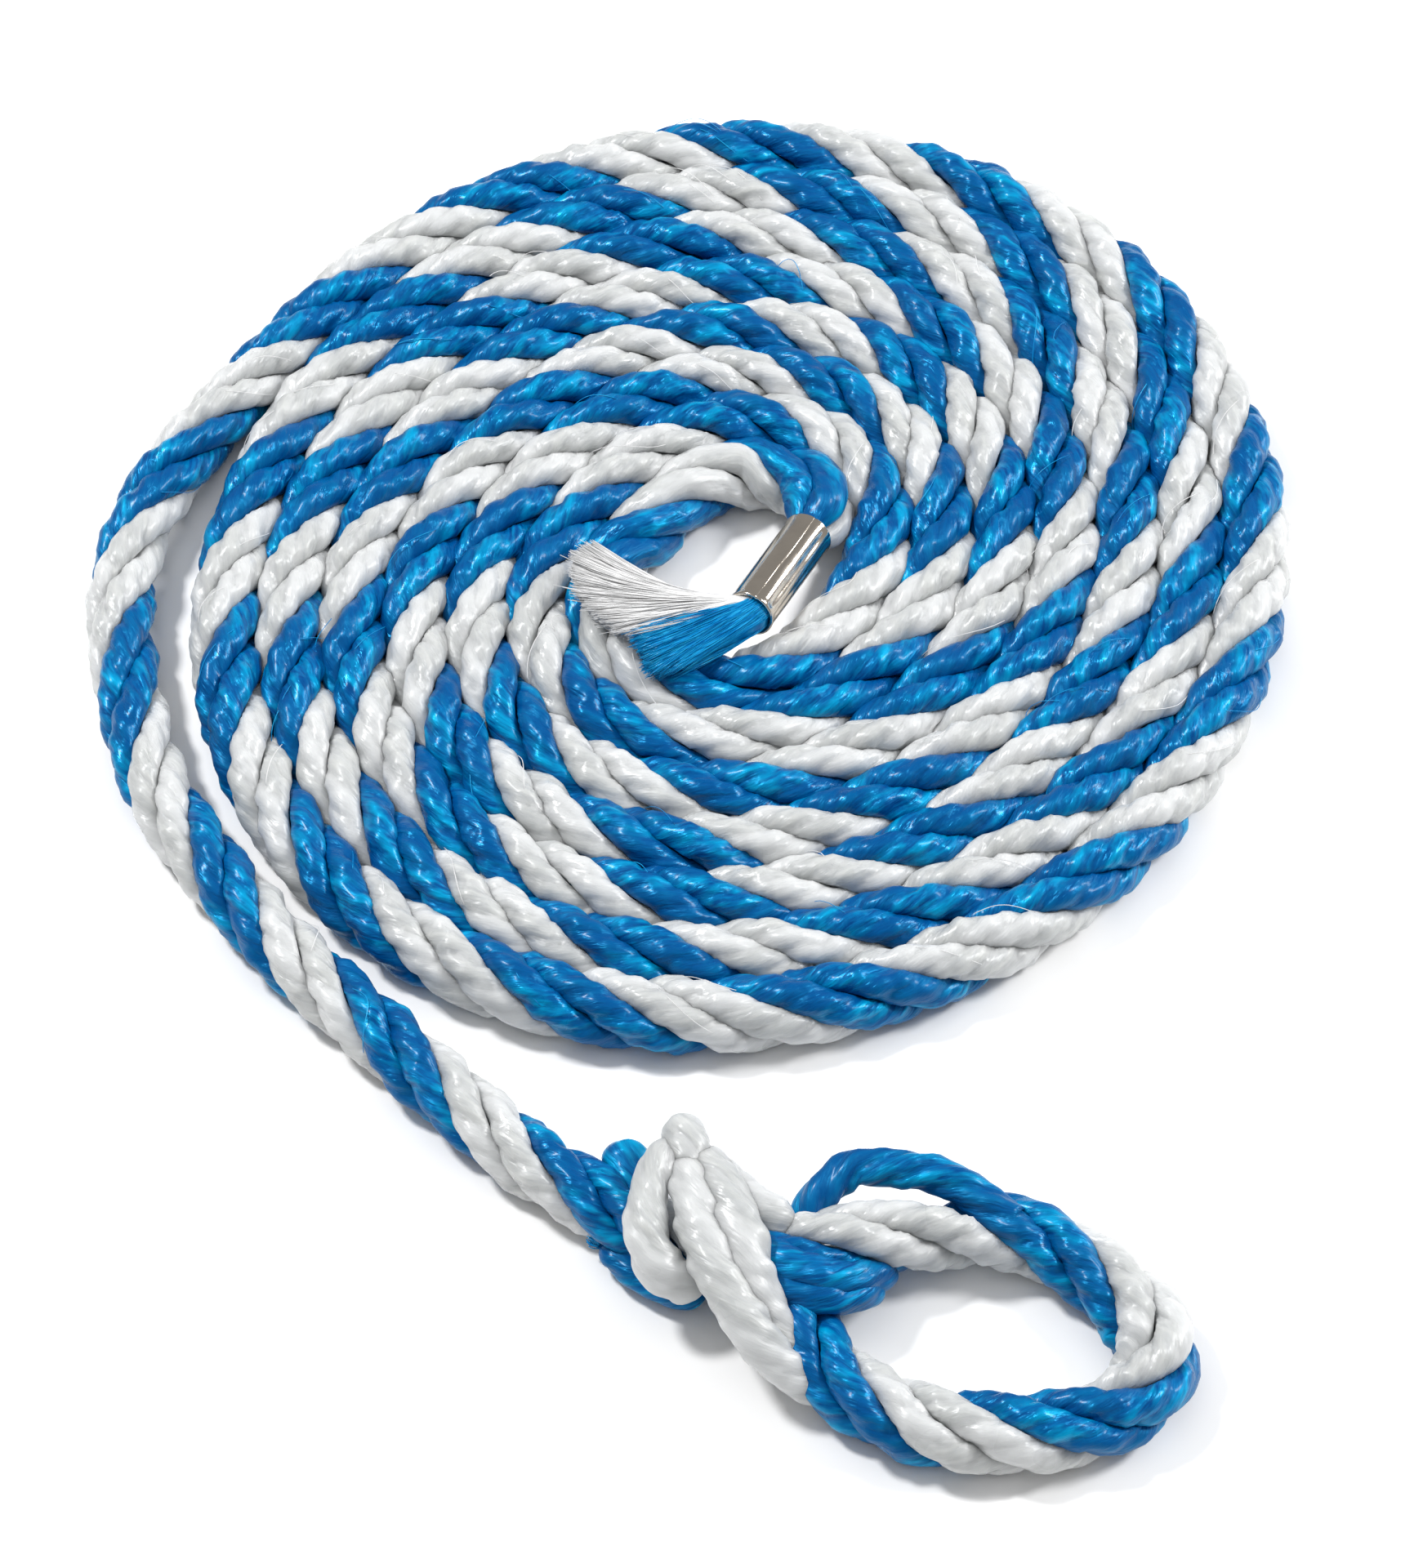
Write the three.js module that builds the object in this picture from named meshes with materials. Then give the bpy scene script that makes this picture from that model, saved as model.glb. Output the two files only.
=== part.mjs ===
// Coiled dock line: a four-strand laid rope, two strands blue and two white, lying in a flat
// spiral. Its inner end is crimped in a metal ferrule, and its outer end is spliced into an eye.
// Millimetres, +Z up. The spiral's own centre is (0, 0) until the last lines, which move the
// whole line so that the origin is at the middle of its box, on the surface it lies on.
import * as THREE from 'three';

// ---------------------------------------------------------------- driving dimensions
const ROPE_D = 9.5;            // rope, over the crowns of its strands
const STRAND_D = 4.4;          // one strand after the splice has flattened it
const GAP = 0.3;               // kept between pieces that touch

const TURN_PITCH = 8.82;       // from one turn of the spiral to the next
const INNER_TURN_R = 15.5;     // the spiral's centre line where it starts, at 90 degrees
const OVAL = { size: 3.3, along: 58 };    // the spiral is a little longer along 58 degrees
const SHIFT = { size: 1.5, along: -29 };  // and its turns sit a little to one side

const RING = {                 // outer shape of the turns outside the innermost one
  outerR: 78.3, innerR: 26.4, centre: [3.0, -1.8], longer: 1.05, shorter: 0.95,
};
const RING_SEGMENTS = 72;
const RIDGE_POINTS = 5;          // from one groove between turns to the next
const FOOT_INSET = 1.2;          // flat underside, past the middle of the first and last turn
const INNERMOST_TURN = { from: 66, to: 345, points: 24 };   // degrees round the spiral

const FERRULE_D = 7.0;
const FERRULE_BORE = 6.0;
const FERRULE_RIM = 0.3;       // rounding of the two mouths, outside
const FERRULE_LIP = 0.1;       // and inside
const FERRULE_SIDES = 32;
const FERRULE_FROM = new THREE.Vector3(12.5, 3.3, 8.0);
const FERRULE_TO = new THREE.Vector3(4.1, -13.6, 11.5);
const CORE_D = 5.4;            // the strands, crimped together
const CORE_SIDES = 16;
const BEND_D = 6.6;            // the rope where it turns into the ferrule
const TUFT_THICKNESS = 1.8;
const TUFT_BASE = ROPE_D + GAP;

const ROPE_SIDES = 10;
const STRAND_SIDES = 8;
const STEPS = {                // along each tube
  turn: 14, bend: 6, lead: 14, throat: 4, eye: 20, wrap: 10, lay: 5, cut: 4, nub: 5,
};

// ---------------------------------------------------------------- routes, chosen by hand
const LEAD_ROUTE = [
  [-72.8, 25.2], [-79.1, 13.9], [-82.8, -0.9], [-82.4, -15.2], [-79.3, -29.3], [-73.7, -43.0],
  [-64.2, -56.4], [-53.6, -69.0], [-41.0, -81.2], [-29.6, -92.0], [-19.0, -101.2],
];
const THROAT_ROUTE = [[-18.7, -101.4], [-12.6, -105.9], [-4.0, -110.8], [3.6, -115.2]];
const EYE_ROUTE = [
  [7.5, -121.0], [11.5, -127.5], [16.5, -132.5], [23.0, -135.8], [32.4, -137.2],
  [42.5, -136.8], [49.5, -134.5], [54.0, -129.7], [54.6, -124.5], [51.5, -118.8],
  [46.0, -112.8], [40.0, -108.8], [33.3, -107.0], [25.0, -107.6], [17.6, -108.3], [11.5, -109.0],
];
const BEND_ROUTE = [
  [8.6, 15.9, 5.0], [11.4, 14.4, 5.8], [13.6, 11.6, 6.6], [14.3, 8.4, 7.1], [13.68, 5.67, 7.51],
  [12.76, 3.82, 7.89],
];
const WHITE_WRAP_ROUTE = [
  [10.5, -109.3, 12.2], [6.0, -104.5, 12.3], [1.5, -100.2, 12.3], [-2.5, -97.2, 12.4],
  [-6.9, -99.5, 12.6], [-9.6, -105.5, 12.6], [-9.9, -112.0, 11.5], [-7.8, -116.2, 8.0],
];
const WHITE_LAY_ROUTES = [
  [[-3.2, -104.0, 12.6], [-3.0, -109.7, 12.8], [-1.4, -115.4, 12.6], [1.4, -121.9, 11.8],
    [5.0, -127.6, 11.8]],
  [[1.5, -107.5, 12.6], [2.8, -112.0, 12.8], [5.2, -117.3, 12.4], [8.4, -122.6, 12.4]],
];
const BLUE_WRAP_ROUTE = [
  [8.6, -113.9, 9.4], [11.8, -116.0, 9.2], [16.0, -117.4, 8.6], [20.5, -117.2, 7.6],
];
const BLUE_CUT_ROUTE = [
  [-16.2, -112.6, 2.4], [-12.8, -114.4, 2.4], [-8.4, -116.6, 2.4], [-3.7, -119.2, 2.4],
];
const BLUE_NUB_ROUTE = [
  [-14.5, -94.6, 3.0], [-12.9, -92.6, 4.0], [-10.1, -92.6, 4.2], [-8.2, -95.4, 4.0],
];

// Cut ends beyond the ferrule, seen from above: they fan out over the innermost turn.
const WHITE_TUFT_OUTLINE = [
  [1.0, -12.9], [-8.0, -6.5], [-17.5, -1.0], [-20.2, -3.9], [-15.6, -10.5], [-11.5, -17.0],
  [-5.0, -16.2], [2.9, -14.9],
];
const BLUE_TUFT_OUTLINE = [
  [3.7, -15.3], [-3.0, -17.0], [-11.2, -17.8], [-9.8, -21.0], [-8.5, -24.4], [-1.0, -21.5],
  [5.2, -17.2],
];

// ---------------------------------------------------------------- materials
const blue = () => new THREE.MeshStandardMaterial({ color: 0x0070c8, roughness: 0.45 });
const white = () => new THREE.MeshStandardMaterial({ color: 0xdedfe3, roughness: 0.5 });
const blueAndWhite = () => new THREE.MeshStandardMaterial({ color: 0x78a8d8, roughness: 0.5 });
const nickel = () => new THREE.MeshStandardMaterial({
  color: 0xb9b4aa, roughness: 0.2, metalness: 1.0,
});

// ---------------------------------------------------------------- helpers
const line = new THREE.Group();

function add(name, geometry, material) {
  const mesh = new THREE.Mesh(geometry, material);
  mesh.name = name;
  line.add(mesh);
  return mesh;
}

function roundSection(diameter, sides) {
  const section = new THREE.Shape();
  for (let i = 0; i < sides; i += 1) {
    const angle = (2 * Math.PI * (i + 0.5)) / sides;
    const x = (diameter / 2) * Math.cos(angle);
    const y = (diameter / 2) * Math.sin(angle);
    if (i === 0) section.moveTo(x, y);
    else section.lineTo(x, y);
  }
  section.closePath();
  return section;
}

// A plain closed tube along a smooth curve through the points. A point without a height lies
// with the rope's underside on the ground.
function tube(points, diameter, sides, steps) {
  const path = new THREE.CatmullRomCurve3(
    points.map(([x, y, z = ROPE_D / 2]) => new THREE.Vector3(x, y, z)), false, 'centripetal',
  );
  return new THREE.ExtrudeGeometry(roundSection(diameter, sides), {
    extrudePath: path, steps, bevelEnabled: false,
  });
}

function spiralRadius(degrees) {
  const bulge = (wave, times) => (
    wave.size * Math.cos(THREE.MathUtils.degToRad(times * (degrees - wave.along)))
  );
  const turns = (degrees - 90) / 360;
  return INNER_TURN_R + TURN_PITCH * turns + bulge(OVAL, 2) + bulge(SHIFT, 1);
}

function spiralPoints(stretch) {
  const points = [];
  for (let i = 0; i <= stretch.points; i += 1) {
    const degrees = stretch.from + ((stretch.to - stretch.from) * i) / stretch.points;
    const angle = THREE.MathUtils.degToRad(degrees);
    const r = spiralRadius(degrees);
    points.push([r * Math.cos(angle), r * Math.sin(angle)]);
  }
  return points;
}

// ---------------------------------------------------------------- the coil
// One ridge for each turn, over a flat underside.
function coilProfile() {
  const ropeR = ROPE_D / 2;
  const width = RING.outerR - RING.innerR - ROPE_D;
  const gaps = Math.round(width / TURN_PITCH);
  const pitch = width / gaps;
  const groove = Math.acos(pitch / ROPE_D);
  const profile = [];
  for (let turn = 0; turn <= gaps; turn += 1) {
    const centre = RING.outerR - ropeR - turn * pitch;
    const start = turn === 0 ? -Math.PI / 3 : groove;
    const end = turn === gaps ? (4 * Math.PI) / 3 : Math.PI - groove;
    const points = RIDGE_POINTS + (turn === 0 || turn === gaps ? 2 : 0);
    const first = turn === 0 ? 0 : 1;   // the groove point belongs to the turn outside it
    for (let i = first; i <= points; i += 1) {
      const angle = start + ((end - start) * i) / points;
      profile.push(new THREE.Vector2(
        centre + ropeR * Math.cos(angle), ropeR + ropeR * Math.sin(angle),
      ));
    }
  }
  profile.push(new THREE.Vector2(RING.innerR + ropeR - FOOT_INSET, 0));
  profile.push(new THREE.Vector2(RING.outerR - ropeR + FOOT_INSET, 0));
  profile.push(profile[0].clone());
  return profile;
}

function coil() {
  const ring = new THREE.LatheGeometry(coilProfile(), RING_SEGMENTS);
  const along = THREE.MathUtils.degToRad(OVAL.along);
  ring.rotateX(Math.PI / 2);
  ring.scale(RING.longer, RING.shorter, 1);
  ring.rotateZ(along);
  ring.translate(RING.centre[0], RING.centre[1], 0);
  return ring;
}

add('coil', coil(), blueAndWhite());
add('innermost_turn',
  tube(spiralPoints(INNERMOST_TURN), ROPE_D, ROPE_SIDES, STEPS.turn), blueAndWhite());
add('end_bend', tube(BEND_ROUTE, BEND_D, ROPE_SIDES, STEPS.bend), blueAndWhite());

// ---------------------------------------------------------------- the crimped inner end
function alongFerrule(geometry) {
  const axis = FERRULE_TO.clone().sub(FERRULE_FROM).normalize();
  geometry.applyQuaternion(new THREE.Quaternion().setFromUnitVectors(
    new THREE.Vector3(0, 1, 0), axis,
  ));
  const middle = FERRULE_FROM.clone().add(FERRULE_TO).multiplyScalar(0.5);
  geometry.translate(middle.x, middle.y, middle.z);
  return geometry;
}

function ferrule() {
  const half = FERRULE_FROM.distanceTo(FERRULE_TO) / 2;
  const outer = FERRULE_D / 2;
  const bore = FERRULE_BORE / 2;
  const lip = bore + FERRULE_LIP;
  const shoulder = half - FERRULE_RIM;
  const profile = [
    [bore, -shoulder], [lip, -half], [outer - FERRULE_RIM, -half], [outer, -shoulder],
    [outer, shoulder], [outer - FERRULE_RIM, half], [lip, half], [bore, shoulder],
    [bore, -shoulder],
  ].map(([r, y]) => new THREE.Vector2(r, y));
  return alongFerrule(new THREE.LatheGeometry(profile, FERRULE_SIDES));
}

function crimpedStrands() {
  const length = FERRULE_FROM.distanceTo(FERRULE_TO) - 2 * GAP;
  return alongFerrule(new THREE.CylinderGeometry(CORE_D / 2, CORE_D / 2, length, CORE_SIDES));
}

function tuft(outline) {
  const shape = new THREE.Shape(outline.map(([x, y]) => new THREE.Vector2(x, y)));
  const fan = new THREE.ExtrudeGeometry(shape, { depth: TUFT_THICKNESS, bevelEnabled: false });
  fan.translate(0, 0, TUFT_BASE);
  return fan;
}

add('ferrule', ferrule(), nickel());
add('crimped_strands', crimpedStrands(), white());
add('white_tuft', tuft(WHITE_TUFT_OUTLINE), white());
add('blue_tuft', tuft(BLUE_TUFT_OUTLINE), blue());

// ---------------------------------------------------------------- the lead and the spliced eye
add('lead', tube(LEAD_ROUTE, ROPE_D, ROPE_SIDES, STEPS.lead), blueAndWhite());
add('splice_throat', tube(THROAT_ROUTE, ROPE_D, ROPE_SIDES, STEPS.throat), blueAndWhite());
add('eye_loop', tube(EYE_ROUTE, ROPE_D, ROPE_SIDES, STEPS.eye), blueAndWhite());
add('white_wrap', tube(WHITE_WRAP_ROUTE, STRAND_D, STRAND_SIDES, STEPS.wrap), white());
WHITE_LAY_ROUTES.forEach((route, i) => {
  add(`white_lay_${i + 1}`, tube(route, STRAND_D, STRAND_SIDES, STEPS.lay), white());
});
add('blue_wrap', tube(BLUE_WRAP_ROUTE, STRAND_D, STRAND_SIDES, STEPS.lay), blue());
add('blue_cut_end', tube(BLUE_CUT_ROUTE, STRAND_D, STRAND_SIDES, STEPS.cut), blue());
add('blue_nub', tube(BLUE_NUB_ROUTE, STRAND_D, STRAND_SIDES, STEPS.nub), blue());

// ---------------------------------------------------------------- origin
line.updateMatrixWorld(true);
const box = new THREE.Box3().setFromObject(line, true);
const middle = box.getCenter(new THREE.Vector3());
line.position.set(-middle.x, -middle.y, -box.min.z);
line.updateMatrixWorld(true);

export default line;
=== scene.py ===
"""Coiled dock line: the looks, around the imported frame. Metres, +Z up, in the part's own frame.

The rope is four laid strands, two blue and two white. Each strand is one long mesh that follows
the rope's centre line from the metal ferrule, round the coil, along the lead and round the eye.
"""

import math

import bpy
import numpy as np
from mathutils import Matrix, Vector


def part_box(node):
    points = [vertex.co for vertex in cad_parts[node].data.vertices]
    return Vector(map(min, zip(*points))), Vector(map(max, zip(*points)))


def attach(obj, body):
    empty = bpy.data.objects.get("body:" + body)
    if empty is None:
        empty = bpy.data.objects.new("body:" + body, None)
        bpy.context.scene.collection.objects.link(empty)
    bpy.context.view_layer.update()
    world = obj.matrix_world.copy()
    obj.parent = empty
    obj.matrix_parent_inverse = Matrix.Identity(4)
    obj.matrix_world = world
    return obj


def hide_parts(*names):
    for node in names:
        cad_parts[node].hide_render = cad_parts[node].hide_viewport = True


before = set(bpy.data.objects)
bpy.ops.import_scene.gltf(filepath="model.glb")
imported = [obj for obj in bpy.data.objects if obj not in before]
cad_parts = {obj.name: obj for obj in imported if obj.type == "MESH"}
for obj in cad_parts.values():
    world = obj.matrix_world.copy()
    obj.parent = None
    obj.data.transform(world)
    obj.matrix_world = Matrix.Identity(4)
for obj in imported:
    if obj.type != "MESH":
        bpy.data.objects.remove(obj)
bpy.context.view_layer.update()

# ------------------------------------------------------------------ driving dimensions
MM = 1000                      # textures are laid out in millimetres
UP = (0.0, 0.0, 1.0)

ROPE_D = 0.0095                # over the crowns of the strands
ROPE_R = ROPE_D / 2
COIL_GIRTH = 1.07              # the rope is drawn a little thicker in the coil, where it is pressed
TURN_PITCH = 0.00882           # from one turn of the spiral to the next
TURN_ROOM = 1.16               # how far a turn may reach toward its neighbour, in half pitches
PRESS_START = 0.88             # of that room, where it starts to flatten
INNER_TURN_R = 0.0155          # the spiral's centre line where it starts, at 90 degrees
OVAL = (0.0033, 58)            # the spiral is a little longer along 58 degrees
SHIFT = (0.0015, -29)          # and its turns sit a little to one side
SPIRAL_FROM, SPIRAL_TO, SPIRAL_STEP = 78, 2664, 6
RING_CENTRE = (0.0030, -0.0018)    # middle of the CAD coil, from the spiral's own centre

# The lay of the strands in the coil, in turns about the rope.
LAY_POWERS = (-0.278, 2.064, 1.235, -0.0427)    # times the spiral's turns to the power 0, 1, 2, 3
LAY_SWAYS = [(0.053, 1, 145), (0.070, 2, 98.6)]    # size, waves in a turn, degrees of a crest
LAY_SLACK = (-0.40, 75, 150)   # turned back by this, at these degrees, and over these

# A wander or a swell is its size and its wavelength.
STRAND_OUT = 0.558 * ROPE_R    # strand's centre, from the rope's centre
STRAND_TALL = 0.445 * ROPE_R   # half its size along the rope's radius
STRAND_WIDE = 0.505 * ROPE_R   # half its size across that
STRAND_GAP = 0.00004           # between neighbouring strands
STRAND_WANDER = (math.radians(4.0), 0.030)
STRAND_SWELL = (0.045, 0.016)
YARNS = 4                      # in each strand
YARN_LAY = 0.0135              # a yarn's turn about its strand, along the rope
YARN_OUT = 0.42                # yarn's centre, from the strand's, as part of the strand's radius
YARN_R = 0.655                 # yarn's own radius, the same way
YARN_WANDER = (0.17, 0.009)    # radians round the strand
YARN_SWELL = (0.09, 0.0048)
OPENED_LENGTH = 0.10           # the end of the rope where the lay of the strands has slackened
OPENED_SPREAD = 0.6            # how far apart the yarns lie there, against 1 in a tight strand
LENGTH_STEP = 0.0008
RING_POINTS = 32

FREE_STRAND_R = 0.0029         # a strand that has been unlaid from the rope
FREE_SWELL = (0.03, 0.012)
FREE_YARN_LAY = 0.0260         # its yarns have opened up
FREE_SPREAD = 0.75
FREE_STEP = LENGTH_STEP * 0.6
FREE_END = FREE_STRAND_R * 1.1    # length of its rounded ends

FERRULE_FROM = (0.0125, 0.0033, 0.0080)    # upper mouth, where the rope goes in
FERRULE_TO = (0.0041, -0.0136, 0.0115)     # lower mouth, where the cut ends come out
FERRULE_R = 0.0035
FERRULE_WALL = 0.0005
FERRULE_LIP = (0.00012, 0.0006)            # how far the mouths are rolled out, over what length
FERRULE_OVAL = (0.012, 20)                 # part of the radius, and degrees from the top
FERRULE_SEAM = (14, 2.6, 0.00012)          # degrees from the top, half width, depth
SEAM_WANDER = (1.2, 0.004)                 # degrees, and metres along it for a radian
FERRULE_DENTS = [(50, 9, 0.00024), (80, 8, 0.00018)]    # as for the seam
DENT_WANDER = (0.2, 0.0022)                # part of the depth, and metres for a radian
FERRULE_SIDES = 160
FERRULE_STEPS = 40
BORE_EVERY = 6                 # of those steps, in the bore
MOUTH_STEPS = 7

TUFT_INSIDE = 0.0008           # how far inside the ferrule's mouth the loose fibres start
TUFT_FILL = 0.9                # of the mouth's height
TUFT_HALF = 0.0008             # half the thickness of a tuft at its cut
TUFT_BODY_LAYER = 0.92         # of that thickness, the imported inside
TUFT_BODY_POINTS = 48          # across a tuft
TUFT_BODY_WIDE = 14            # millimetres, for its texture
TUFT_LEAVES, TUFT_ARRIVES = 0.0010, 0.010    # nearly straight stretches at the mouth and the cut
TUFT_STEPS = 14
TUFT_RAGGED = 0.0002           # unevenness of the body's cut
FIBRE_R = 0.00009
FIBRE_GIRTHS = (0.7, 1.3)      # of that
FIBRE_LAYERS = (0.85, 0.99)    # of the tuft's thickness, where single fibres lie
FIBRES_ABOVE = 0.88            # part of them on the upper side
FIBRE_RAGGED = 0.0003          # unevenness of their cut
FIBRE_CURL = 0.00038
CLUMPS = 34                    # the fibres of a tuft cling together
CLUMP_WIDTH = 0.45             # against the distance from clump to clump
CLUMP_RAGGED = 0.0005
LOOSE_PART, LOOSE_REACH, LOOSE_RISE = 0.025, 0.0012, 0.0006    # fibres that leave the tuft
FLATTISH = (1, 1, 0.2)         # unevenness is mostly level

CUT_FIBRES = 260               # at the cut end beside the splice
CUT_END_FLAT = 0.8             # its height, as part of its width
CUT_FIBRE_LENGTH = (0.0002, 0.0013)
CUT_FIBRE_INSIDE = 0.0006
CUT_FIBRE_SPLAY = (0.8, 1.15)  # of the cut end's width, at their roots and tips
CUT_FIBRE_RAGGED, CUT_FIBRE_BEND = 0.00025, 0.0002
CUT_FIBRE_STEPS = 6

STRAY_R = 0.00006              # single fibres that have lifted off the rope
STRAY_LENGTH = (0.005, 0.011)
STRAY_LIFT = (0.0003, 0.0011)
STRAY_OFF_CROWN, STRAY_DRIFT = 0.25, 0.30    # radians round the rope
STRAY_STRETCH = (0.03, 0.95)   # of the rope, where they are
STRAY_SINK = 0.00025           # their ends, under the crowns of the strands
STRAY_STEPS = 14

centre_low, centre_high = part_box("coil")
ORIGIN = np.array([
    (centre_low.x + centre_high.x) / 2 - RING_CENTRE[0],
    (centre_low.y + centre_high.y) / 2 - RING_CENTRE[1],
    0.0,
])

# ------------------------------------------------------------------ routes
# Each row is x, y, z, the lay in turns, and the girth as part of the rope's own. The eye's route
# starts with the throat, under the splice.
BEND_ROUTE = [
    (0.0047, -0.0124, 0.0113, -1.55, 0.58),
    (0.0069, -0.0080, 0.0103, -1.40, 0.60),
    (0.0100, -0.0017, 0.0090, -1.22, 0.60),
    (*FERRULE_FROM, -1.10, 0.70),
    (0.0136, 0.0055, 0.0076, -1.07, 0.98),
    (0.0142, 0.0080, 0.0071, -1.05, 1.10),
    (0.0136, 0.0116, 0.0064, -1.01, 1.12),
    (0.0114, 0.0145, 0.0056, -0.94, 1.08),
    (0.0080, 0.0160, 0.0050, -0.84, 1.05),
]
LEAD_ROUTE = [(x, y, ROPE_R, lay, 1.00) for x, y, lay in [
    (-0.0709, 0.0282, 62.59),
    (-0.0754, 0.0209, 62.83),
    (-0.0791, 0.0139, 63.04),
    (-0.0817, 0.0065, 63.25),
    (-0.0829, -0.0009, 63.44),
    (-0.0832, -0.0081, 63.63),
    (-0.0824, -0.0152, 63.83),
    (-0.0810, -0.0223, 64.02),
    (-0.0793, -0.0293, 64.21),
    (-0.0770, -0.0362, 64.41),
    (-0.0737, -0.0430, 64.62),
    (-0.0692, -0.0498, 64.84),
    (-0.0644, -0.0564, 65.08),
    (-0.0592, -0.0630, 65.33),
    (-0.0533, -0.0694, 65.59),
    (-0.0470, -0.0756, 65.83),
    (-0.0407, -0.0820, 66.08),
    (-0.0350, -0.0876, 66.31),
    (-0.0296, -0.0928, 66.52),
    (-0.0243, -0.0977, 66.72),
    (-0.0190, -0.1014, 66.90),
]]
EYE_ROUTE = [
    (-0.0126, -0.1059, ROPE_R, 67.11, 1.00),
    (-0.0040, -0.1108, ROPE_R, 67.36, 1.00),
    (0.0030, -0.1145, ROPE_R, 67.60, 1.00),
    (0.0085, -0.1195, ROPE_R, 67.80, 1.00),
    (0.0120, -0.1255, ROPE_R, 67.98, 1.00),
    (0.0155, -0.1305, ROPE_R, 68.14, 1.03),
    (0.0205, -0.1338, ROPE_R, 68.31, 1.08),
    (0.0255, -0.1361, ROPE_R, 68.49, 1.10),
    (0.0324, -0.1372, ROPE_R, 68.68, 1.10),
    (0.0390, -0.1372, ROPE_R, 68.87, 1.08),
    (0.0445, -0.1362, ROPE_R, 69.03, 1.06),
    (0.0495, -0.1343, ROPE_R, 69.18, 1.05),
    (0.0534, -0.1307, ROPE_R, 69.32, 1.12),
    (0.0549, -0.1263, ROPE_R, 69.44, 1.18),
    (0.0536, -0.1216, ROPE_R, 69.56, 1.18),
    (0.0502, -0.1172, ROPE_R, 69.70, 1.10),
    (0.0460, -0.1129, ROPE_R, 69.84, 1.05),
    (0.0403, -0.1095, 0.0049, 70.00, 1.05),
    (0.0333, -0.1080, 0.0054, 70.17, 1.08),
    (0.0265, -0.1090, 0.0064, 70.33, 1.08),
    (0.0200, -0.1106, 0.0072, 70.49, 1.05),
    (0.0140, -0.1118, 0.0078, 70.64, 1.00),
    (0.0088, -0.1124, 0.0078, 70.78, 0.85),
    (0.0040, -0.1124, 0.0072, 70.90, 0.65),
]
# The strand of the eye that has sprung away from its rope, x, y, z.
SPRUNG_WITHIN = 0.06           # of the rope's end
SPRUNG_LEAVES_X = 0.0372       # where it leaves the rope
SPRUNG_R = 0.0024
SPRUNG_EASE = 0.008            # length over which it takes that size
SPRUNG_LEAD_IN = (13, 4)       # steps of the rope that shape its start, and every how many
SPRUNG_ROUTE = [
    (0.0333, -0.1055, 0.0083),
    (0.0304, -0.1035, 0.0088),
    (0.0266, -0.1021, 0.0092),
    (0.0229, -0.1016, 0.0094),
    (0.0196, -0.1014, 0.0094),
    (0.0174, -0.1014, 0.0093),
    (0.0153, -0.1024, 0.0090),
    (0.0135, -0.1040, 0.0085),
    (0.0121, -0.1057, 0.0076),
    (0.0107, -0.1076, 0.0063),
]

# Free strands of the splice: x, y, z, and the strand's half width as part of FREE_STRAND_R.
WHITE_NUB_ROUTE = [
    (-0.0050, -0.0957, 0.0124, 0.92),
    (-0.0047, -0.0978, 0.0127, 0.98),
    (-0.0042, -0.1002, 0.0127, 1.00),
    (-0.0037, -0.1029, 0.0125, 0.95),
    (-0.0036, -0.1050, 0.0120, 0.90),
]
WHITE_WRAP_ROUTE = [
    (-0.0035, -0.1000, 0.0118, 0.85),
    (-0.0063, -0.1016, 0.0124, 0.88),
    (-0.0082, -0.1044, 0.0126, 0.86),
    (-0.0091, -0.1077, 0.0126, 0.86),
    (-0.0094, -0.1113, 0.0124, 0.90),
    (-0.0090, -0.1142, 0.0117, 0.96),
    (-0.0076, -0.1165, 0.0104, 1.00),
    (-0.0052, -0.1177, 0.0086, 0.95),
    (-0.0023, -0.1178, 0.0064, 0.85),
]
WHITE_LAY_ROUTES = [
    [
        (-0.0041, -0.1012, 0.0112, 0.85),
        (-0.0037, -0.1032, 0.0124, 0.95),
        (-0.0034, -0.1072, 0.0130, 1.00),
        (-0.0027, -0.1116, 0.0131, 1.00),
        (-0.0015, -0.1159, 0.0129, 1.00),
        (0.0002, -0.1199, 0.0124, 1.00),
        (0.0024, -0.1236, 0.0115, 0.98),
        (0.0048, -0.1268, 0.0098, 0.95),
        (0.0076, -0.1290, 0.0074, 0.88),
        (0.0106, -0.1304, 0.0050, 0.78),
        (0.0136, -0.1316, 0.0034, 0.68),
    ],
    [
        (-0.0026, -0.1010, 0.0112, 0.85),
        (-0.0017, -0.1026, 0.0122, 0.95),
        (0.0004, -0.1069, 0.0130, 1.00),
        (0.0020, -0.1110, 0.0131, 1.00),
        (0.0031, -0.1146, 0.0128, 1.00),
        (0.0039, -0.1178, 0.0120, 1.00),
        (0.0050, -0.1206, 0.0106, 0.95),
        (0.0066, -0.1234, 0.0084, 0.90),
        (0.0086, -0.1260, 0.0062, 0.82),
        (0.0110, -0.1284, 0.0042, 0.72),
    ],
    [
        (-0.0022, -0.1012, 0.0104, 0.75),
        (-0.0008, -0.1026, 0.0110, 0.82),
        (0.0017, -0.1056, 0.0114, 0.85),
        (0.0044, -0.1078, 0.0113, 0.85),
        (0.0071, -0.1094, 0.0105, 0.82),
        (0.0095, -0.1106, 0.0092, 0.75),
    ],
]
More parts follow.
